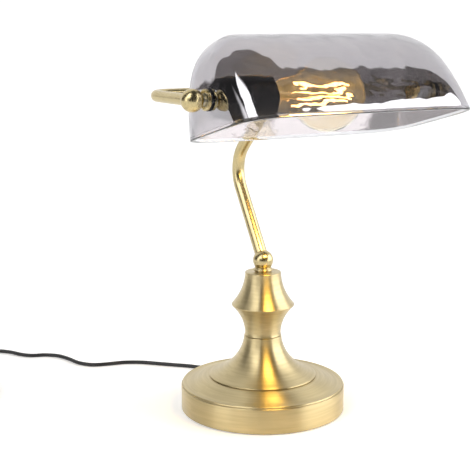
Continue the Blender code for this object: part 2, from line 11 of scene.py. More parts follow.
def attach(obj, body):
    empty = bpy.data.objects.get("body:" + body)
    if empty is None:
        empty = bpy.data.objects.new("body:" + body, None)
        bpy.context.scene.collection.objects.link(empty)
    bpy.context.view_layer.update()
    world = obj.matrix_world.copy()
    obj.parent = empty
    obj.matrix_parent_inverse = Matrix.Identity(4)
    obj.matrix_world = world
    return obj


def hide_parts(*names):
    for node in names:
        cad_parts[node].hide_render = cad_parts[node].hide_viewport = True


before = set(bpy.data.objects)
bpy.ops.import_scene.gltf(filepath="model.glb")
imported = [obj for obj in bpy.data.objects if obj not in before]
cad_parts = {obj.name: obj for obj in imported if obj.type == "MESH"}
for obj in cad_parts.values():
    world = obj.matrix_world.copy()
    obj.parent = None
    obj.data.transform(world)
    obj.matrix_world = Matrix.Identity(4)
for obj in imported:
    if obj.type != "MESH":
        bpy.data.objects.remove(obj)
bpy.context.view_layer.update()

X = Vector((1, 0, 0))
Y = Vector((0, 1, 0))
Z = Vector((0, 0, 1))
GAP = 0.0003

# ------------------------------------------------------- sizes repeated from part.py
BASE_R, WALL_H = 0.0790, 0.0246
SHOULDER_R, SHOULDER_Z = 0.0524, 0.0330
CONE_TOP_Z, CONE_TOP_R, WAIST_R = 0.0728, 0.0180, 0.0172
RING_R, RING_Z = 0.0300, 0.1034
COLUMN_TOP_Z, COLUMN_TOP_R = 0.1352, 0.0172
NECK_BALL_Z, NECK_BALL_R = 0.1463, 0.0097
BORE_R = 0.0053
ARM_R, ARM_BEND_R = 0.0060, 0.0324
ARM_LEAN, ARM_CRANK = math.radians(32.9), math.radians(45.0)
YOKE_R, YOKE_BEND_R, YOKE_DEPTH, HUB_R = 0.0050, 0.0180, 0.0780, 0.0095
TILT_AT = Vector((0.0049, -0.0966, 0.3080))
TILT = math.radians(14.5)
BALL_R, BALL_X = 0.0095, 0.1311
SHADE_H, SHADE_PIVOT_H, SHADE_SET_BACK = 0.0822, 0.0267, 0.0103
SHADE_A, SHADE_B, SHADE_CROWN, SHADE_SQUARE, SHADE_WALL = 0.1165, 0.0635, 0.0792, 5.9, 0.0038
SEAT_X = SHADE_A - SHADE_WALL - 0.0006
STACK_X = SEAT_X - 0.0028
HOLDER_R, HOLDER_MOUTH_X, HOLDER_SPLIT_X = 0.0180, -0.0540, -0.0820
BULB_R, BULB_X = 0.0315, 0.0040
CORD_R, CORD_Z, GLAND_Z, GLAND_TAIL = 0.0020, 0.0021, 0.0090, 0.0220
COIL_AT = Vector((-0.2440, 0.1780, 0))
COIL_MID_R, COIL_HALF_W = 0.0230, 0.0063
SWITCH_AT = Vector((-0.2140, 0.2570, 0))
SWITCH_SIZE = Vector((0.0260, 0.0600, 0.0170))
SWITCH_SPLIT = 0.0083
PLUG_AT = Vector((-0.2620, 0.2560, 0.0072))
PLUG_SIZE = Vector((0.0250, 0.0330, 0.0136))

# ------------------------------------------------------------ sizes used here only
SHADE_AXIS_AT = Vector((0, TILT_AT.y, TILT_AT.z))
CAMERA_AT = Vector((-0.53455, -0.87146, 0.36823))
CAMERA_TURN, CAMERA_DOWN = math.radians(-30.02), math.radians(10.94)
CAMERA_LENS, CAMERA_SENSOR = 83.85, 36.0
BULB_LIGHT_DROP = 0.046
FILAMENT_GLOW = 26.0
FLOOR_FRONT, FLOOR_BACK, FLOOR_SIDE = -2.2, 22, 9
ROOM_DARK, BACKDROP_LIGHT, BOX_LIGHT, LOW_BOX_LIGHT = 0.04, 1.03, 3.6, 2.2


# ---------------------------------------------------------------------- the camera
def camera():
    back = Vector((math.sin(CAMERA_TURN) * math.cos(CAMERA_DOWN),
                   -math.cos(CAMERA_TURN) * math.cos(CAMERA_DOWN), math.sin(CAMERA_DOWN)))
    eye = bpy.data.objects.new("camera", bpy.data.cameras.new("camera"))
    eye.data.lens = CAMERA_LENS
    eye.data.sensor_width = CAMERA_SENSOR
    eye.data.clip_start = 0.05
    eye.location = CAMERA_AT
    eye.rotation_euler = back.to_track_quat("Z", "Y").to_euler()
    bpy.context.collection.objects.link(eye)
    bpy.context.scene.camera = eye


# ------------------------------------------------------------------ node materials
def math_node(tree, operation, first, second):
    """A Math node on two values, each a number or another node's output."""
    node = tree.nodes.new("ShaderNodeMath")
    node.operation = operation
    for socket, value in zip(node.inputs, (first, second)):
        if isinstance(value, (int, float)):
            socket.default_value = value
        else:
            tree.links.new(value, socket)
    return node.outputs[0]


class Paint:
    """A material's node tree, with short ways to add nodes and links."""

    def __init__(self, name):
        self.material = bpy.data.materials.new(name)
        self.material.use_nodes = True
        self.tree = self.material.node_tree
        self.shader = self.tree.nodes["Principled BSDF"]

    def set(self, **values):
        for key, value in values.items():
            name = key.replace("_", " ")
            socket = next(s for s in self.shader.inputs if s.name.lower() == name.lower())
            socket.default_value = (*value, 1.0) if isinstance(value, tuple) else value

    def add(self, kind, **settings):
        node = self.tree.nodes.new(kind)
        for key, value in settings.items():
            setattr(node, key, value)
        return node

    def link(self, source, target):
        self.tree.links.new(source, target)

    def math(self, operation, first, second):
        return math_node(self.tree, operation, first, second)

    def place(self, scale=(1, 1, 1)):
        """Object coordinates, stretched."""
        mapping = self.add("ShaderNodeMapping")
        mapping.inputs["Scale"].default_value = scale
        self.link(self.add("ShaderNodeTexCoord").outputs["Object"], mapping.inputs["Vector"])
        return mapping.outputs["Vector"]

    def noise(self, vector, scale, detail):
        node = self.add("ShaderNodeTexNoise")
        node.inputs["Scale"].default_value = scale
        node.inputs["Detail"].default_value = detail
        self.link(vector, node.inputs["Vector"])
        return node.outputs["Fac"]

    def spread(self, value, low, high, start=0.3, stop=0.7):
        """Map a range, by default the middle of a pattern's, onto another one."""
        node = self.add("ShaderNodeMapRange")
        for name, number in (("From Min", start), ("From Max", stop), ("To Min", low),
                             ("To Max", high)):
            node.inputs[name].default_value = number
        self.link(value, node.inputs["Value"])
        return node.outputs["Result"]

    def blend(self, value, low, high):
        node = self.add("ShaderNodeMix", data_type="RGBA")
        node.inputs["A"].default_value = (*low, 1.0)
        node.inputs["B"].default_value = (*high, 1.0)
        self.link(value, node.inputs["Factor"])
        return node.outputs["Result"]

    def bump(self, height, distance):
        node = self.add("ShaderNodeBump")
        node.inputs["Distance"].default_value = distance
        self.link(height, node.inputs["Height"])
        self.link(node.outputs["Normal"], self.shader.inputs["Normal"])


def turned_brass(name):
    """Satin brass, brushed round the axis of a piece that stands on +Z."""
    paint = Paint(name)
    paint.set(Metallic=1.0, Anisotropic=0.9, Anisotropic_Rotation=0.25)
    split = paint.add("ShaderNodeSeparateXYZ")
    paint.link(paint.place(), split.inputs["Vector"])
    across, along, up = split.outputs
    radius = paint.math("SQRT", paint.math("ADD", paint.math("MULTIPLY", across, across),
                                           paint.math("MULTIPLY", along, along)), 0)
    turn = paint.math("ARCTAN2", along, across)
    join = paint.add("ShaderNodeCombineXYZ")
    paint.link(paint.math("MULTIPLY", turn, 0.0035), join.inputs["X"])
    paint.link(radius, join.inputs["Y"])
    paint.link(up, join.inputs["Z"])
    fine = paint.noise(join.outputs["Vector"], 3200, 4.0)
    broad = paint.noise(join.outputs["Vector"], 420, 2.0)
    tone = paint.spread(broad, 0.0, 1.0)
    paint.link(paint.blend(tone, (0.500, 0.410, 0.225), (0.580, 0.480, 0.270)),
               paint.shader.inputs["Base Color"])
    paint.link(paint.spread(fine, 0.33, 0.41), paint.shader.inputs["Roughness"])
    paint.bump(fine, 0.000006)
    tangent = paint.add("ShaderNodeTangent", direction_type="RADIAL", axis="Z")
    paint.link(tangent.outputs["Tangent"], paint.shader.inputs["Tangent"])
    return paint.material


def drawn_brass(name, grain, colours=((0.500, 0.410, 0.215), (0.590, 0.490, 0.265))):
    """Satin brass with its grain along one axis, given as stretches of X, Y and Z."""
    paint = Paint(name)
    paint.set(Metallic=1.0)
    fine = paint.noise(paint.place(grain), 1.0, 4.0)
    tone = paint.noise(paint.place((60, 60, 60)), 1.0, 2.0)
    paint.link(paint.blend(paint.spread(tone, 0.0, 1.0), *colours),
               paint.shader.inputs["Base Color"])
    paint.link(paint.spread(fine, 0.22, 0.30), paint.shader.inputs["Roughness"])
    paint.bump(fine, 0.000004)
    return paint.material


def plain_metal(name, low, high, roughness):
    """Plated or machined metal with faint turning marks and small stains."""
    paint = Paint(name)
    paint.set(Metallic=1.0)
    marks = paint.noise(paint.place((2600, 400, 400)), 1.0, 3.0)
    stain = paint.noise(paint.place((140, 140, 140)), 1.0, 3.0)
    paint.link(paint.blend(paint.spread(stain, 0.0, 1.0), low, high),
               paint.shader.inputs["Base Color"])
    paint.link(paint.spread(marks, roughness - 0.06, roughness + 0.08),
               paint.shader.inputs["Roughness"])
    paint.bump(marks, 0.00001)
    return paint.material


def moulded(name, low, high, roughness, grain=900, depth=0.00002):
    """Moulded plastic, rubber or ceramic with a fine skin and slight colour drift."""
    paint = Paint(name)
    skin = paint.noise(paint.place((grain, grain, grain)), 1.0, 4.0)
    drift = paint.noise(paint.place((90, 90, 90)), 1.0, 2.0)
    paint.link(paint.blend(paint.spread(drift, 0.0, 1.0), low, high),
               paint.shader.inputs["Base Color"])
    paint.link(paint.spread(skin, roughness - 0.06, roughness + 0.10),
               paint.shader.inputs["Roughness"])
    paint.bump(skin, depth)
    return paint.material


def felt(name):
    """Short black fibres with a little sheen."""
    paint = Paint(name)
    paint.set(Sheen_Weight=0.6, Sheen_Roughness=0.6, Roughness=0.95)
    fibres = paint.noise(paint.place((2200, 2200, 2200)), 1.0, 6.0)
    paint.link(paint.blend(paint.spread(fibres, 0.0, 1.0), (0.010, 0.010, 0.011),
                           (0.050, 0.050, 0.052)), paint.shader.inputs["Base Color"])
    paint.bump(fibres, 0.0003)
    return paint.material


def smoked_glass(name, mirror, tint, stretch=(38, 30, 30), height=0.0008):
    """Smoked glass, slightly wavy as blown. A mirror share makes its thin metal film."""
    paint = Paint(name)
    paint.set(Metallic=mirror, Transmission_Weight=1.0, IOR=1.38)
    waves = paint.noise(paint.place(stretch), 1.0, 1.5)
    smear = paint.noise(paint.place((70, 70, 70)), 1.0, 3.0)
    paint.link(paint.blend(paint.spread(smear, 0.0, 1.0), tuple(0.96 * c for c in tint), tint),
               paint.shader.inputs["Base Color"])
    paint.link(paint.spread(smear, 0.0, 0.02), paint.shader.inputs["Roughness"])
    paint.bump(waves, height)
    return paint.material


def bulb_glass(name):
    """Faintly amber glass, with a band at the filaments' height that glows in ripples."""
    paint = Paint(name)
    paint.set(Transmission_Weight=1.0, IOR=1.12, Roughness=0.0)
    drift = paint.noise(paint.place((50, 50, 50)), 1.0, 2.0)
    paint.link(paint.blend(paint.spread(drift, 0.0, 1.0), (0.975, 0.93, 0.80), (0.99, 0.96, 0.88)),
               paint.shader.inputs["Base Color"])
    paint.bump(drift, 0.0010)
    split = paint.add("ShaderNodeSeparateXYZ")
    paint.link(paint.place(), split.inputs["Vector"])
    high = paint.spread(split.outputs["Z"], 0.0, 1.0, TILT_AT.z - 0.016, TILT_AT.z + 0.006)
    ripple = paint.noise(paint.place((60, 130, 130)), 1.0, 3.0)
    low = paint.spread(split.outputs["Z"], 1.0, 0.0, TILT_AT.z + 0.008, TILT_AT.z + 0.022)
    band = paint.math("MULTIPLY", high, low)
    lit = paint.math("MULTIPLY", band, paint.spread(ripple, 0.1, 1.0))
    paint.link(paint.math("MULTIPLY", lit, 0.45), paint.shader.inputs["Emission Strength"])
    paint.shader.inputs["Emission Color"].default_value = (1.0, 0.66, 0.24, 1)
    return paint.material


def glowing(name):
    """Lit filament: a row of bright beads under an amber coat."""
    paint = Paint(name)
    paint.set(Roughness=0.4, Emission_Strength=FILAMENT_GLOW)
    beads = paint.add("ShaderNodeTexWave", wave_type="BANDS", bands_direction="X")
    beads.inputs["Scale"].default_value = 260
    paint.link(paint.place(), beads.inputs["Vector"])
    paint.link(paint.blend(beads.outputs["Fac"], (1.0, 0.50, 0.12), (1.0, 0.66, 0.26)),
               paint.shader.inputs["Emission Color"])
    paint.link(paint.blend(beads.outputs["Fac"], (0.9, 0.6, 0.2), (1.0, 0.8, 0.4)),
               paint.shader.inputs["Base Color"])
    return paint.material


# --------------------------------------------------------------------- mesh helpers
def arc(centre, radius, start, stop, count):
    """Points on a round stretch, its ends given in degrees."""
    angles = [math.radians(start + (stop - start) * i / count) for i in range(count + 1)]
    return [(centre[0] + radius * math.cos(a), centre[1] + radius * math.sin(a)) for a in angles]


def sweep(a, b, c, d, count):
    """Points on a Bezier stretch from a to d."""
    curve = interpolate_bezier(*(Vector((*p, 0)) for p in (a, b, c, d)), count + 1)
    return [(p.x, p.y) for p in curve]


def link_mesh(name, bm, material, sharp=35):
    bmesh.ops.recalc_face_normals(bm, faces=bm.faces)
    mesh = bpy.data.meshes.new(name)
    bm.to_mesh(mesh)
    bm.free()
    mesh.shade_smooth()
    mesh.set_sharp_from_angle(angle=math.radians(sharp))
    mesh.materials.append(material)
    piece = bpy.data.objects.new(name, mesh)
    bpy.context.collection.objects.link(piece)
    return piece


def lathe(name, outline, material, steps=128, at=(0, 0, 0), along=Z, sharp=35):
    """Turn an outline of (radius, height), from its top down its outer side."""
    spin = Z.rotation_difference(Vector(along))
    at = Vector(at)
    bm = bmesh.new()
    rings = []
    for radius, height in outline:
        if radius == 0:
            rings.append([bm.verts.new(at + spin @ Vector((0, 0, height)))])
            continue
        rings.append([bm.verts.new(at + spin @ Vector((radius * math.cos(a), radius * math.sin(a),
                                                       height)))
                      for a in (math.tau * i / steps for i in range(steps))])
    closed = outline[0][0] > 0
    pairs = list(zip(rings, rings[1:])) + ([(rings[-1], rings[0])] if closed else [])
    for upper, lower in pairs:
        for i in range(steps):
            corners = [upper[i % len(upper)], lower[i % len(lower)],
                       lower[(i - 1) % len(lower)], upper[(i - 1) % len(upper)]]
            corners = list(dict.fromkeys(corners))
            if len(corners) > 2:
                bm.faces.new(corners)
    return link_mesh(name, bm, material, sharp)


def ball(name, radius, at, material, along=Z):
    outline = arc((0, 0), radius, 90, -90, 32)
    outline[0], outline[-1] = (0, radius), (0, -radius)
    return lathe(name, outline, material, 64, at, along)


def rounded_ring(name, inner, outer, low, high, material, at, along):
    """A flat ring from low to high along its axis, with softened edges."""
    edge = 0.0002
    outline = [(inner, high - edge), (inner + edge, high),
               *arc((outer - edge, high - edge), edge, 90, 0, 3),
               *arc((outer - edge, low + edge), edge, 0, -90, 3),
               (inner + edge, low), (inner, low + edge)]
    return lathe(name, outline, material, 64, at, along, 50)


def bar(name, points, radius, material):
    """A round bar along a path."""
    curve = bpy.data.curves.new(name, "CURVE")
    curve.dimensions = "3D"
    spline = curve.splines.new("POLY")
    spline.points.add(len(points) - 1)
    for knot, point in zip(spline.points, points):
        knot.co = (*point, 1)
    spline.use_smooth = True
    curve.bevel_depth = radius
    curve.bevel_resolution = 10
    curve.use_fill_caps = True
    curve.materials.append(material)
    piece = bpy.data.objects.new(name, curve)
    bpy.context.collection.objects.link(piece)
    return piece


def rounded_corner(before, corner, after, radius, count):
    """Points on the round bend that replaces a corner of a path."""
    back = (before - corner).normalized()
    ahead = (after - corner).normalized()
    half = back.angle(ahead) / 2
    middle = corner + (back + ahead).normalized() * radius / math.sin(half)
    start = (corner + back * radius / math.tan(half) - middle).normalized()
    stop = (corner + ahead * radius / math.tan(half) - middle).normalized()
    return [middle + start.slerp(stop, i / count) * radius for i in range(count + 1)]


# --------------------------------------------------------------------- stand pieces
def stand(brass, tube_brass, bar_brass):
    pieces = [base_cover(brass), pedestal(brass), column(brass), collar(brass)]
    knob = ball("fine_neck_ball", NECK_BALL_R, (0, 0, NECK_BALL_Z), tube_brass)
    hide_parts("neck_ball")
    pieces += [knob, *arm_and_yoke(tube_brass, bar_brass)]
    for piece in pieces:
        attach(piece, "stand")


def base_cover(brass):
    bead = arc((BASE_R - 0.0022, WALL_H + 0.0006), 0.0013, 115, -45, 14)
    dome = sweep((SHOULDER_R, SHOULDER_Z), (0.0620, 0.0318), (0.0670, 0.0262), bead[0], 18)
    wall = [(BASE_R - 0.0007, WALL_H), *arc((BASE_R - 0.0006, WALL_H - 0.0008), 0.0006, 80, 0, 4),
            *arc((BASE_R - 0.0006, 0.0014), 0.0006, 0, -90, 4)]
    inner = BASE_R - 0.0012
    inside = [(inner, 0.0008), (inner, WALL_H - 0.0010), (0.0640, SHOULDER_Z - 0.0052),
              (SHOULDER_R, SHOULDER_Z - 0.0012), (BORE_R, SHOULDER_Z - 0.0012)]
    piece = lathe("fine_base_cover", [(BORE_R, SHOULDER_Z), *dome, *bead[1:], *wall, *inside],
                  brass, 192)
    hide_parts("base_cover")
    return piece


def pedestal(brass):
    foot_z = SHOULDER_Z + GAP
    flare = sweep((CONE_TOP_R, CONE_TOP_Z - 0.0006), (0.0195, 0.0560), (0.0310, 0.0415),
                  (SHOULDER_R - 0.0022, foot_z + 0.0020), 40)
    foot = arc((SHOULDER_R - 0.0013, foot_z + 0.0007), 0.0007, 80, -60, 6)
    top = arc((CONE_TOP_R - 0.0006, CONE_TOP_Z - 0.0006), 0.0006, 90, 0, 4)
    inside = [(0.0440, foot_z), (0.0240, 0.0480), (0.0160, 0.0640),
              (0.0160, CONE_TOP_Z - 0.0016), (BORE_R, CONE_TOP_Z - 0.0016)]
    piece = lathe("fine_pedestal_cone", [(BORE_R, CONE_TOP_Z), *top, *flare[1:], *foot, *inside],
                  brass, 160)
    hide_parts("pedestal_cone")
    return piece


def column(brass):
    foot_z = CONE_TOP_Z + GAP
    upper = sweep((RING_R - 0.0006, RING_Z + 0.0009), (0.0240, 0.1110), (0.0185, 0.1190),
                  (COLUMN_TOP_R, 0.1330), 32)
    lower = sweep((RING_R - 0.0003, RING_Z - 0.0009), (0.0218, 0.0953), (0.0174, 0.0850),
                  (WAIST_R, foot_z + 0.0026), 32)
    cap = [(BORE_R, COLUMN_TOP_Z),
           *arc((COLUMN_TOP_R - 0.0007, COLUMN_TOP_Z - 0.0007), 0.0007, 90, 0, 5)]
    foot = arc((CONE_TOP_R - 0.0010, foot_z + 0.0006), 0.0006, 40, -90, 5)
    inside = [(0.0150, foot_z), (0.0150, COLUMN_TOP_Z - 0.0020), (BORE_R, COLUMN_TOP_Z - 0.0020)]
    ring = [(RING_R, RING_Z + 0.0002), (RING_R, RING_Z - 0.0003)]
    piece = lathe("fine_column_body", [*cap, *upper[::-1], *ring, *lower, *foot, *inside], brass,
                  160, sharp=28)
    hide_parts("column_body")
    return piece


def collar(brass):
    neck = NECK_BALL_Z - 0.0060
    outline = [(BORE_R, neck), (0.0062, neck), (0.0079, neck - 0.0008), (0.0079, 0.1390),
               *arc((0.0079, 0.1374), 0.0013, 85, -85, 10), (0.0079, COLUMN_TOP_Z + GAP),
               (BORE_R, COLUMN_TOP_Z + GAP)]
    piece = lathe("fine_neck_collar", outline, brass, 96)
    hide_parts("neck_collar")
    return piece


def arm_and_yoke(tube_brass, bar_brass):
    lean = Vector((0, math.sin(ARM_LEAN), math.cos(ARM_LEAN)))
    crank = Vector((0, -math.sin(ARM_CRANK), math.cos(ARM_CRANK)))
    start = Vector((0, 0, NECK_BALL_Z))
    hub = TILT_AT + Y * YOKE_DEPTH
    hub.x = 0
    slope = crank.z / -crank.y
    reach = (hub.z - start.z + (hub.y - start.y) * slope) / (lean.z + lean.y * slope)
    bend = rounded_corner(start, start + lean * reach, hub, ARM_BEND_R, 28)
    arm = bar("fine_arm_tube", [start + lean * 0.0013, *bend, hub - crank * 0.0060], ARM_R,
              tube_brass)
    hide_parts("arm_tube")

    left, right = TILT_AT - X * BALL_X, TILT_AT + X * BALL_X
    back = Y * YOKE_DEPTH
    path = [left + Y * 0.0063, *rounded_corner(left, left + back, right + back, YOKE_BEND_R, 20),
            *rounded_corner(left + back, right + back, right, YOKE_BEND_R, 20),
            right + Y * 0.0063]
    yoke = bar("fine_yoke_tube", path, YOKE_R, bar_brass)
    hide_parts("yoke_tube")
    pieces = [arm, yoke]
    for name, at, radius in (("pivot_ball_left", left, BALL_R), ("pivot_ball_right", right, BALL_R),
                             ("yoke_hub", hub, HUB_R)):
        knob = ball(f"fine_{name}", radius, at, tube_brass, X)
        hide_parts(name)
        pieces.append(knob)
    return pieces


# --------------------------------------------------------------------- shade pieces
def rounded(value, level):
    """Bend a cosine or sine so that a ring is squarish at the rim and rounder above."""
    return math.copysign(abs(value) ** (2 / (SHADE_SQUARE - 1.2 * level)), value)


def shade_ring(level, shrink, around):
    """One ring of the shade's outer (shrink 0) or inner face, as points in the lamp."""
    swell = max(0.0, 1 - level ** 5.1) ** 0.59
    length = SHADE_CROWN - shrink + (SHADE_A - SHADE_CROWN) * swell
    width = (SHADE_B - shrink) * max(0.0, 1 - level ** 1.3) ** 0.56
    height = (SHADE_H - shrink) * level - SHADE_PIVOT_H
    middle = SHADE_SET_BACK * level
    return tilted([Vector((length * rounded(math.cos(a), level),
                           width * rounded(math.sin(a), level) + middle, height))
                   for a in (math.tau * i / around for i in range(around))])


def tilted(points):
    """The shade's own points, turned to its rest tilt and put on its pivots."""
    turn_c, turn_s = math.cos(-TILT), math.sin(-TILT)
    return [TILT_AT + Vector((p.x, p.y * turn_c - p.z * turn_s, p.y * turn_s + p.z * turn_c))
            for p in points]


def shade(outer_glass, inner_glass, edge_glass):
    """Outer face (0), inner face (1) and rounded rim (2) as one body, with its two holes."""
    rows, around = 44, 220
    levels = [math.sin(math.pi / 2 * i / rows) for i in range(rows, -1, -1)]
    rim = 0.0010
    bm = bmesh.new()
    loops = [(shade_ring(level, 0, around), 0) for level in levels[:-1]]
    quarter = [math.pi / 2 * k / 4 for k in range(5)]
    loops += [(rim_ring(rim * (1 - math.cos(turn)), rim * (1 - math.sin(turn)), around), 2)
              for turn in quarter]
    loops += [(rim_ring(SHADE_WALL - rim * (1 - math.sin(turn)), rim * (1 - math.cos(turn)),
                        around), 2) for turn in quarter]
    loops += [(shade_ring(level, SHADE_WALL, around), 1) for level in levels[-2::-1]]
    rings = [([bm.verts.new(p) for p in points], kind) for points, kind in loops]
    for (upper, kind), (lower, next_kind) in zip(rings, rings[1:]):
        for i in range(around):
            face = bm.faces.new((upper[i], lower[i], lower[i - 1], upper[i - 1]))
            face.material_index = max(kind, next_kind)
    bmesh.ops.remove_doubles(bm, verts=bm.verts, dist=0.00001)
    bmesh.ops.dissolve_degenerate(bm, edges=bm.edges, dist=0.00001)
    glass = link_mesh("fine_shade_glass", bm, outer_glass, 60)
    glass.data.materials.append(inner_glass)
    glass.data.materials.append(edge_glass)
    for side in (-X, X):
        pierce(glass, TILT_AT + side * (SHADE_A - 0.015), side, 0.0056, 0.030)
    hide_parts("shade_glass")
    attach(glass, "shade")


def rim_ring(shrink, lift, around):
    """A ring close to the rim, this far inside the outer face and above the rim plane."""
    width, length = SHADE_B - shrink, SHADE_A - shrink
    return tilted([Vector((length * rounded(math.cos(a), 0), width * rounded(math.sin(a), 0),
                           lift - SHADE_PIVOT_H))
                   for a in (math.tau * i / around for i in range(around))])


def pierce(piece, start, along, radius, length):
    """Cut a round hole and apply the cut."""
    outline = [(0, length), (radius, length), (radius, 0), (0, 0)]
    cutter = lathe("cutter", outline, piece.data.materials[0], 48, start, along)
    boolean = piece.modifiers.new("hole", "BOOLEAN")
    boolean.operation = "DIFFERENCE"
    boolean.solver = "EXACT"
    boolean.object = cutter
    graph = bpy.context.evaluated_depsgraph_get()
    mesh = bpy.data.meshes.new_from_object(piece.evaluated_get(graph))
    piece.modifiers.clear()
    old, piece.data = piece.data, mesh
    bpy.data.meshes.remove(old)
    bpy.data.objects.remove(cutter)


def pivots(brass, bright, steel, rubber):
    outer = SHADE_A + GAP
    made = []
    for side, along in (("left", -X), ("right", X)):
        made += [
            (f"outer_gasket_{side}", 0.0092, outer, outer + 0.0009, rubber, "rubber", along),
            (f"outer_washer_{side}", 0.0088, outer + 0.0012, outer + 0.0034, brass, "brass", along),
            (f"inner_gasket_{side}", 0.0098, SEAT_X - 0.0010, SEAT_X, rubber, "rubber", along),
            (f"inner_washer_{side}", 0.0092, STACK_X + GAP, SEAT_X - 0.0013, brass, "brass",
             along)]
    nut_x = STACK_X - 0.0207
    made.append(("stud_sleeve", 0.0066, nut_x + 0.0043, STACK_X, steel, "steel", X))
    for name, radius, low, high, material, slot, along in made:
        piece = rounded_ring(f"fine_{name}", BORE_R, radius, low, high, material, TILT_AT, along)
        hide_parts(name)
        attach(piece, "shade")
    nut = [(0, nut_x + 0.0011), (BORE_R, nut_x + 0.0011), (BORE_R, nut_x + 0.0040),
           (0.0067, nut_x + 0.0040), (0.0071, nut_x + 0.0036),
           *arc((0.0062, nut_x + 0.0009), 0.0009, 0, -90, 6), (0.0030, nut_x), (0, nut_x)]
    piece = lathe("fine_stud_cap_nut", nut, bright, 64, TILT_AT, X)
    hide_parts("stud_cap_nut")
    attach(piece, "shade")


def holder(phenolic):
    start = TILT_AT.x - STACK_X
    split = HOLDER_SPLIT_X
    cap = [(HOLDER_R - 0.0020, split), (HOLDER_R - 0.0003, split), (HOLDER_R, split - 0.0003),
           (HOLDER_R, start + 0.0150),
           *sweep((HOLDER_R, start + 0.0150), (HOLDER_R, start + 0.0060), (0.0160, start + 0.0010),
                  (0.0115, start), 18)[1:],
           (BORE_R, start), (BORE_R, start + 0.0020), (0.0110, start + 0.0020),
           (0.0160, start + 0.0060), (0.0160, split)]
    mouth = HOLDER_MOUTH_X
    low = split + GAP
    shell = [(0.0152, mouth - 0.0006), (0.0158, mouth),
             *arc((HOLDER_R - 0.0022, mouth - 0.0022), 0.0022, 90, 0, 8), (HOLDER_R, low + 0.0003),
             (HOLDER_R - 0.0003, low), (0.0152, low)]
    for name, outline in (("holder_cap", cap), ("holder_shell", shell)):
        piece = lathe(f"fine_{name}", outline, phenolic, 96, SHADE_AXIS_AT, X)
        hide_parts(name)
        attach(piece, "shade")


def bulb(clear, stem_glass, glow, nickel):
    at = SHADE_AXIS_AT
    neck_z = -0.0560
    globe = arc((0, BULB_X), BULB_R, 90, -38, 30)
    globe[0] = (0, BULB_X + BULB_R)
    neck = sweep(globe[-1], (0.0185, -0.0225), (0.0138, -0.0340), (0.0128, neck_z), 20)[1:]
    skin = 0.0007  # full on the sides, and easing in over the crown
    inner = [(max(r - skin, 0) if i else 0, z - skin * max(0, (z - 0.02) / 0.015))
             for i, (r, z) in enumerate([*globe, *neck])]
    glass = lathe("fine_bulb_glass", [*globe, *neck, *inner[::-1]], clear, 96, at, X, 60)
    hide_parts("bulb_glass")

    thread = [(0.0132 + 0.0003 * math.cos(2 * math.pi * i / 8), -0.0592 - 0.0144 * i / 32)
              for i in range(33)]
    cap = [(0, neck_z - GAP), (0.0130, neck_z - GAP), *thread, (0.0085, -0.0765), (0, -0.0765)]
    screw = lathe("fine_bulb_cap", cap, nickel, 64, at, X)
    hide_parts("bulb_cap")

    stem = [(0, 0.0170), *arc((0, 0.0158), 0.0012, 80, 0, 5), (0.0014, -0.0200),
            *sweep((0.0014, -0.0200), (0.0020, -0.0230), (0.0036, -0.0240), (0.0042, -0.0420), 8)[1:],
            *sweep((0.0042, -0.0420), (0.0044, -0.0480), (0.0070, -0.0540), (0.0100, -0.0545), 8)[1:],
            (0, -0.0545)]
    rod = lathe("fine_bulb_stem", stem, stem_glass, 48, at, X)
    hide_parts("bulb_stem")
    pieces = [glass, screw, rod]
    for index in range(4):
        turn = math.pi / 2 * index - TILT
        outward = Y * math.sin(turn) + Z * math.cos(turn)
        near, far = at - X * 0.0330 + outward * 0.0100, at + X * 0.0250 + outward * 0.0062
        length = (far - near).length
        outline = [(0, length), *arc((0.0004, length - 0.0007), 0.0007, 90, 0, 4)[1:],
                   *arc((0.0004, 0.0007), 0.0007, 0, -90, 4)[:-1], (0, 0)]
        stick = lathe(f"fine_filament_{index + 1}", outline, glow, 20, near, far - near)
        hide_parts(f"filament_{index + 1}")
        pieces.append(stick)
    for piece in pieces:
        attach(piece, "shade")


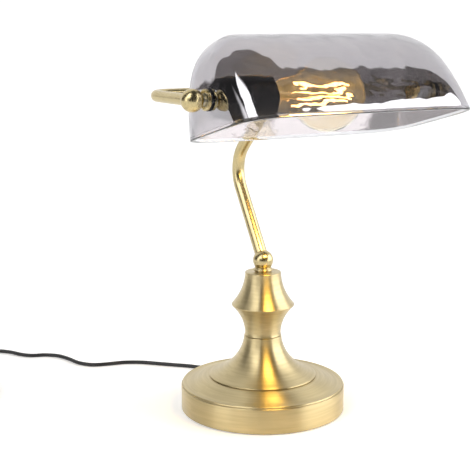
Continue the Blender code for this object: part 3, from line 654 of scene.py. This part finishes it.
# ---------------------------------------------------------------- the lead's pieces
def lead_route():
    """The whole lead on one line: down to the surface, in its curves, through the
    switch, round the coil and out over it to the plug."""
    exit_y = BASE_R + 0.0020 + GLAND_TAIL + GAP
    to_switch = [
        (0.0000, exit_y, GLAND_Z), (0.0010, 0.1120, 0.0082), (0.0026, 0.1215, 0.0050),
        (0.0014, 0.1320, 0.0026), (-0.0050, 0.1422, CORD_Z), (-0.0160, 0.1530, CORD_Z),
        (-0.0295, 0.1660, CORD_Z), (-0.0450, 0.1810, CORD_Z), (-0.0620, 0.1905, CORD_Z),
        (-0.0810, 0.1945, CORD_Z), (-0.0960, 0.2005, CORD_Z), (-0.1055, 0.2140, CORD_Z),
        (-0.1095, 0.2320, CORD_Z), (-0.1155, 0.2490, CORD_Z), (-0.1270, 0.2600, CORD_Z),
        (-0.1410, 0.2655, CORD_Z), (-0.1505, 0.2760, CORD_Z), (-0.1570, 0.2890, CORD_Z),
        (-0.1670, 0.3005, CORD_Z), (-0.1810, 0.3085, CORD_Z), (-0.1970, 0.3105, 0.0030),
        (-0.2090, 0.3030, 0.0060), (-0.2140, 0.2935, 0.0080),
        (SWITCH_AT.x, SWITCH_AT.y + SWITCH_SIZE.y / 2 + GAP, SWITCH_SPLIT)]
    beside_coil = COIL_MID_R + COIL_HALF_W + CORD_R + GAP
    to_coil = [
        (SWITCH_AT.x, SWITCH_AT.y - SWITCH_SIZE.y / 2 - GAP, SWITCH_SPLIT),
        (-0.2139, 0.2180, 0.0066), (-0.2130, 0.2080, 0.0038), (-0.2122, 0.1980, CORD_Z),
        (COIL_AT.x + beside_coil, 0.1880, CORD_Z)]
    to_plug = [
        (COIL_AT.x - beside_coil, 0.1880, CORD_Z), (-0.2735, 0.1960, 0.0030),
        (-0.2662, 0.2050, 0.0056), (PLUG_AT.x, 0.2160, PLUG_AT.z),
        (PLUG_AT.x, PLUG_AT.y - PLUG_SIZE.y / 2 - 0.0180 - GAP, PLUG_AT.z)]
    return [Vector(p) for p in [*to_switch, *to_coil, *coil(beside_coil), *to_plug]]


def coil(outside):
    """Turns of the coil as (turn angle, radius, height) stations, smoothed between."""
    pitch = 0.0042
    outer, middle, inner = COIL_MID_R + pitch, COIL_MID_R, COIL_MID_R - pitch
    low, mid, top = CORD_Z, CORD_Z + pitch, CORD_Z + 2 * pitch
    stations = [(0, outside, low), (90, outer, low)]
    angle = 90
    for radius, height in ((outer, low), (middle, low), (inner, low), (inner, mid), (middle, mid),
                           (outer, mid), (outer, top)):
        stations += [(angle + 70, radius, height), (angle + 290, radius, height)]
        angle += 360
    stations += [(angle + 60, middle, top), (angle + 240, middle, top),
                 (angle + 290, middle + 0.0015, top + 0.0030), (angle + 330, outer, top + pitch),
                 (angle + 370, outside - 0.0008, top + 0.0025), (angle + 410, outside, mid),
                 (angle + 450, outside, low)]
    points = []
    for (a0, r0, z0), (a1, r1, z1) in zip(stations, stations[1:]):
        count = max(1, round((a1 - a0) / 20))
        for i in range(count):
            f = i / count
            ease = f * f * (3 - 2 * f)
            a = math.radians(a0 + (a1 - a0) * f)
            radius = r0 + (r1 - r0) * ease
            points.append(COIL_AT + Vector((radius * math.cos(a), -radius * math.sin(a),
                                            z0 + (z1 - z0) * ease)))
    a, radius, height = stations[-1]
    points.append(COIL_AT + Vector((radius * math.cos(math.radians(a)),
                                    -radius * math.sin(math.radians(a)), height)))
    return points


def lead(black):
    points = lead_route()
    curve = bpy.data.curves.new("lead", "CURVE")
    curve.dimensions = "3D"
    spline = curve.splines.new("BEZIER")
    spline.bezier_points.add(len(points) - 1)
    for i, knot in enumerate(spline.bezier_points):
        before, after = points[max(i - 1, 0)], points[min(i + 1, len(points) - 1)]
        along = (after - before).normalized()
        back = (points[i] - before).length / 3
        ahead = (after - points[i]).length / 3
        knot.handle_left_type = knot.handle_right_type = "FREE"
        knot.co = points[i]
        knot.handle_left = points[i] - along * back
        knot.handle_right = points[i] + along * ahead
    curve.resolution_u = 6
    curve.bevel_depth = CORD_R
    curve.bevel_resolution = 5
    curve.use_fill_caps = True
    curve.materials.append(black)
    piece = bpy.data.objects.new("lead", curve)
    bpy.context.collection.objects.link(piece)
    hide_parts("cord_to_switch", "cord_to_coil", "cord_to_plug", "cord_coil")
    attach(piece, "stand")


# ------------------------------------------------------------------ floor and light
def floor():
    bm = bmesh.new()
    corners = [bm.verts.new(p) for p in (
        (-FLOOR_SIDE, FLOOR_FRONT, 0), (FLOOR_SIDE, FLOOR_FRONT, 0), (FLOOR_SIDE, FLOOR_BACK, 0),
        (-FLOOR_SIDE, FLOOR_BACK, 0))]
    bm.faces.new(corners)
    paint = Paint("pale_floor")
    paint.set(Base_Color=(0.90, 0.90, 0.90), Roughness=0.9, Emission_Strength=0.28)
    paint.shader.inputs["Emission Color"].default_value = (1, 1, 1, 1)
    paint.shader.inputs["Specular IOR Level"].default_value = 0.0
    piece = link_mesh("floor", bm, paint.material)
    if piece.data.polygons[0].normal.z < 0:
        piece.data.flip_normals()


def studio():
    """White backdrop behind the lamp, a dark camera side and three soft boxes, by direction."""
    world = bpy.data.worlds.new("studio")
    bpy.context.scene.world = world
    world.use_nodes = True
    tree = world.node_tree
    tree.nodes.clear()
    coord = tree.nodes.new("ShaderNodeTexCoord")
    split = tree.nodes.new("ShaderNodeSeparateXYZ")
    tree.links.new(coord.outputs["Generated"], split.inputs["Vector"])
    x, y, z = split.outputs

    def ramp(value, start, stop):
        node = tree.nodes.new("ShaderNodeMapRange")
        node.interpolation_type = "SMOOTHSTEP"
        node.inputs["From Min"].default_value = start
        node.inputs["From Max"].default_value = stop
        tree.links.new(value, node.inputs["Value"])
        return node.outputs["Result"]

    def combine(operation, first, second):
        return math_node(tree, operation, first, second)

    def between(value, low, high, blur):
        return combine("MULTIPLY", ramp(value, low - blur, low + blur),
                       ramp(value, high + blur, high - blur))

    def plane(a, b, c, d):
        """a x + b y + c z + d for each direction."""
        terms = [combine("MULTIPLY", axis, k) for axis, k in zip((x, y, z), (a, b, c))]
        return combine("ADD", combine("ADD", terms[0], terms[1]), combine("ADD", terms[2], d))

    # white backdrop behind, its front edge overhead, further back on the left
    left_edge = combine("ADD", plane(-0.25, 0, -0.58, 0.72),
                        combine("MULTIPLY", ramp(x, -0.10, 0.35), 0.15))
    edge = combine("ADD", combine("MULTIPLY", ramp(x, 0.51, 0.41), left_edge),
                   combine("MULTIPLY", ramp(x, 0.78, 0.95), -0.25))
    backdrop = ramp(combine("SUBTRACT", y, combine("ADD", edge, 0.08)), -0.012, 0.012)
    # broad soft box to the right of the camera
    turn = combine("ARCTAN2", x, combine("MULTIPLY", y, -1.0))
    start = combine("SUBTRACT", turn, combine("MULTIPLY", z, 0.5))
    below_top = ramp(plane(0.709, -1.091, -1.0, 0), -0.01, 0.01)
    right_box = combine("MULTIPLY", combine("MULTIPLY", below_top, ramp(y, -0.02, -0.05)),
                        combine("MULTIPLY", ramp(start, 0.30, 0.40), ramp(turn, 1.95, 1.75)))
    # tall narrow soft box to the left of the camera and a low one further round
    left_box = combine("MULTIPLY", between(turn, -1.54, -0.87, 0.02), between(z, 0.44, 0.95, 0.02))
    low_box = combine("MULTIPLY", between(turn, -1.80, -1.32, 0.12), ramp(z, 0.60, 0.45))
    tall_boxes = combine("MULTIPLY", combine("MAXIMUM", right_box, left_box), BOX_LIGHT)
    boxes = combine("MAXIMUM", tall_boxes, combine("MULTIPLY", low_box, LOW_BOX_LIGHT))
    behind = combine("MULTIPLY", backdrop, BACKDROP_LIGHT)
    light = combine("ADD", ROOM_DARK, combine("MAXIMUM", behind, boxes))
    background = tree.nodes.new("ShaderNodeBackground")
    tree.links.new(light, background.inputs["Strength"])
    background.inputs["Color"].default_value = (1.0, 0.995, 1.0, 1)
    output = tree.nodes.new("ShaderNodeOutputWorld")
    tree.links.new(background.outputs["Background"], output.inputs["Surface"])
    bpy.context.scene.view_settings.view_transform = "Standard"


def bulb_light():
    """Warm light that the bulb throws down, from just under the shade and unseen itself."""
    light = bpy.data.lights.new("bulb_light", "AREA")
    light.shape = "ELLIPSE"
    light.size, light.size_y = 0.09, 0.04
    light.energy = 0.35
    light.color = (1.0, 0.68, 0.20)
    lamp = bpy.data.objects.new("bulb_light", light)
    lamp.location = SHADE_AXIS_AT - Z * BULB_LIGHT_DROP
    lamp.visible_camera = False
    lamp.visible_transmission = False
    bpy.context.collection.objects.link(lamp)


# ----------------------------------------------------------------- everything else
def dress_nodes(looks):
    """Give each CAD piece that stays its own material."""
    for name, material in looks.items():
        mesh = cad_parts[name].data
        mesh.materials.clear()
        mesh.materials.append(material)


def main():
    camera()
    black = moulded("black_pvc", (0.010, 0.010, 0.011), (0.018, 0.018, 0.019), 0.42)
    lead(black)
    floor()
    studio()
    bulb_light()

    brass = turned_brass("brass_turned")
    upright_brass = drawn_brass("brass_arm", (1400, 1400, 60))
    level_brass = drawn_brass("brass_yoke", (60, 1400, 1400))
    washer_brass = drawn_brass("brass_washers", (900, 900, 900))
    bright = drawn_brass("brass_polished", (400, 400, 400), ((0.80, 0.60, 0.26), (0.88, 0.70, 0.34)))
    steel = plain_metal("zinc_steel", (0.52, 0.53, 0.55), (0.66, 0.67, 0.69), 0.30)
    nickel = plain_metal("nickel_plate", (0.68, 0.66, 0.60), (0.80, 0.78, 0.72), 0.22)
    iron = moulded("cast_iron", (0.05, 0.05, 0.055), (0.12, 0.12, 0.12), 0.75, 500, 0.0004)
    rubber = moulded("black_rubber", (0.014, 0.014, 0.014), (0.026, 0.026, 0.026), 0.62)
    phenolic = moulded("black_phenolic", (0.007, 0.006, 0.006), (0.012, 0.010, 0.010), 0.14, 300,
                       0.000006)
    ceramic = moulded("steatite", (0.70, 0.68, 0.62), (0.82, 0.80, 0.75), 0.50)
    stand(brass, upright_brass, level_brass)
    shade(smoked_glass("smoked_mirror_glass", 0.47, (0.66, 0.645, 0.68)),
          smoked_glass("smoked_glass_inside", 0.06, (0.46, 0.43, 0.42), (55, 70, 70), 0.0010),
          smoked_glass("glass_rim", 0.0, (0.80, 0.80, 0.82)))
    pivots(washer_brass, bright, steel, rubber)
    holder(phenolic)
    bulb(bulb_glass("bulb_clear_glass"), bulb_glass("stem_glass"), glowing("filament_lit"), nickel)
    dress_nodes({
        "base_felt": felt("black_felt"), "base_weight": iron, "tie_rod": steel,
        "tie_nut": steel, "tie_washer": steel, "cord_gland": rubber, "hub_screw": steel,
        "pivot_nipple": steel, "nipple_nut": steel, "pivot_stud": steel,
        "holder_core": ceramic, "holder_contact_shell": nickel,
        "holder_centre_contact": bright, "bulb_insulator": phenolic, "bulb_contact": nickel,
        "switch_lower_case": black, "switch_upper_case": black, "switch_rocker": black,
        "switch_rocker_pin": steel, "switch_screw_1": steel, "switch_screw_2": steel,
        "switch_terminals": ceramic, "plug_body": black, "plug_strain_relief": rubber,
        "plug_pin_left": nickel, "plug_pin_right": nickel})


main()
